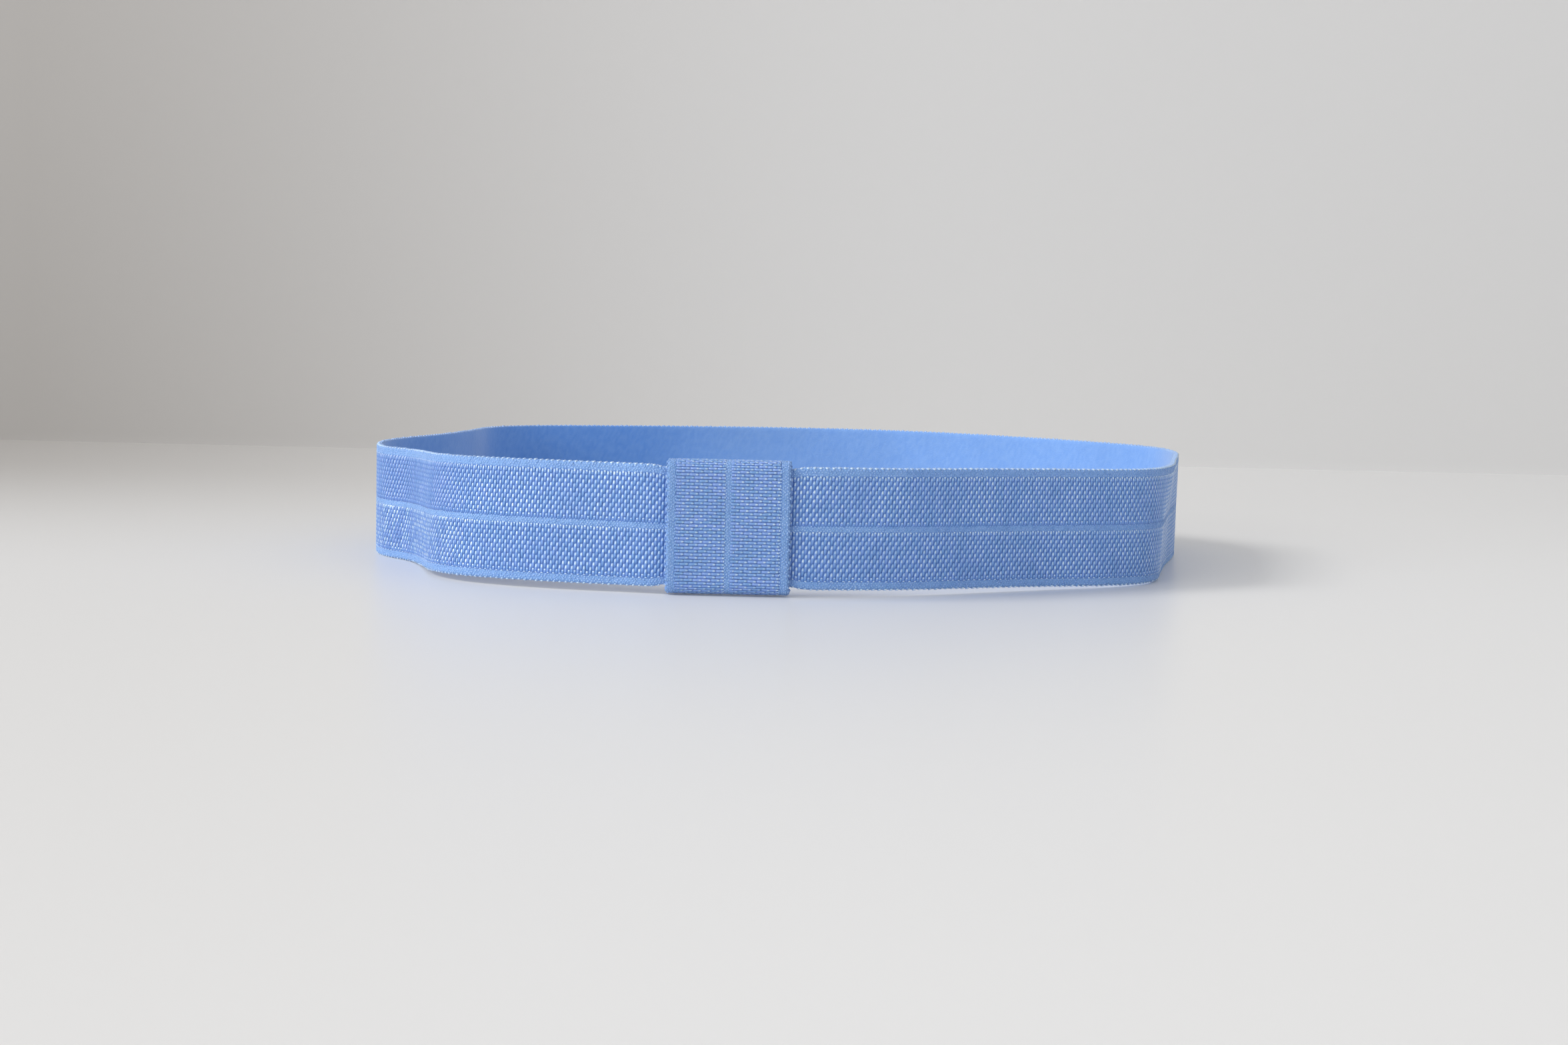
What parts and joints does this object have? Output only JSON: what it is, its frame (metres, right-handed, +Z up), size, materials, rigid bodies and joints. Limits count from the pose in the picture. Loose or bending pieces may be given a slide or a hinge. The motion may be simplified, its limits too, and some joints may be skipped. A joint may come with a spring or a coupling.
{
  "type": "interchangeable headband",
  "caption": "Narrow stretch headband: a closed loop of fold-over elastic with a keeper loop of the same elastic at its front for a slide-on bow.",
  "frame": {"origin": "under the middle of the part's box, on the surface that the band's lower edge stands on", "axes": "+Z up, along the elastic's width; the keeper faces -Y; +X to the right as seen from the front"},
  "size_m": [0.1222, 0.1162, 0.0178],
  "materials": {
    "band_elastic": "blue woven elastic, two satin panels with a plain fold line and plain selvedges, matte plush back",
    "keeper_elastic": "the same blue woven elastic turned upright, its ribs lying level"
  },
  "bodies": {
    "root": {"elastic_band": "band_elastic", "keeper_loop": "keeper_elastic"}
  },
  "joints": []
}
